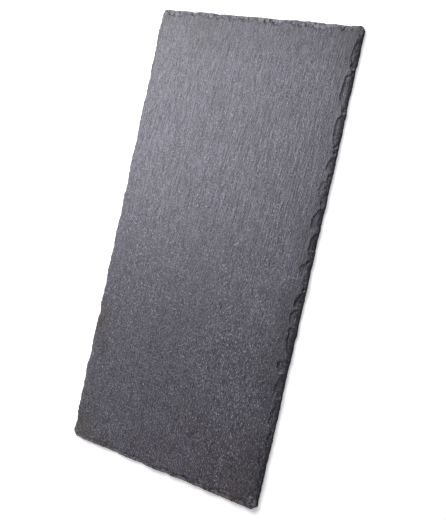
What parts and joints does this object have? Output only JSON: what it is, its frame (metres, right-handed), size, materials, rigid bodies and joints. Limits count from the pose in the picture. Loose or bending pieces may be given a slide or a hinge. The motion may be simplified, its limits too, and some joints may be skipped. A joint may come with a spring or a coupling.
{
  "type": "slate slab",
  "caption": "Thin rectangular sheet of cleft grey slate with a flat back, a riven face and a knife-chipped bevel on every side.",
  "frame": {"origin": "centre of the flat back, which is the lowest face of the slab as it lies", "axes": "+Y along the slab's long side, +X along its short side, +Z out of the riven face"},
  "size_m": [0.2515, 0.5014, 0.0063],
  "materials": {
    "slate": "riven, matt with a faint silky sheen, purple-grey with fine pale mica flecks"
  },
  "bodies": {
    "root": {"slate_slab": "slate"}
  },
  "joints": []
}
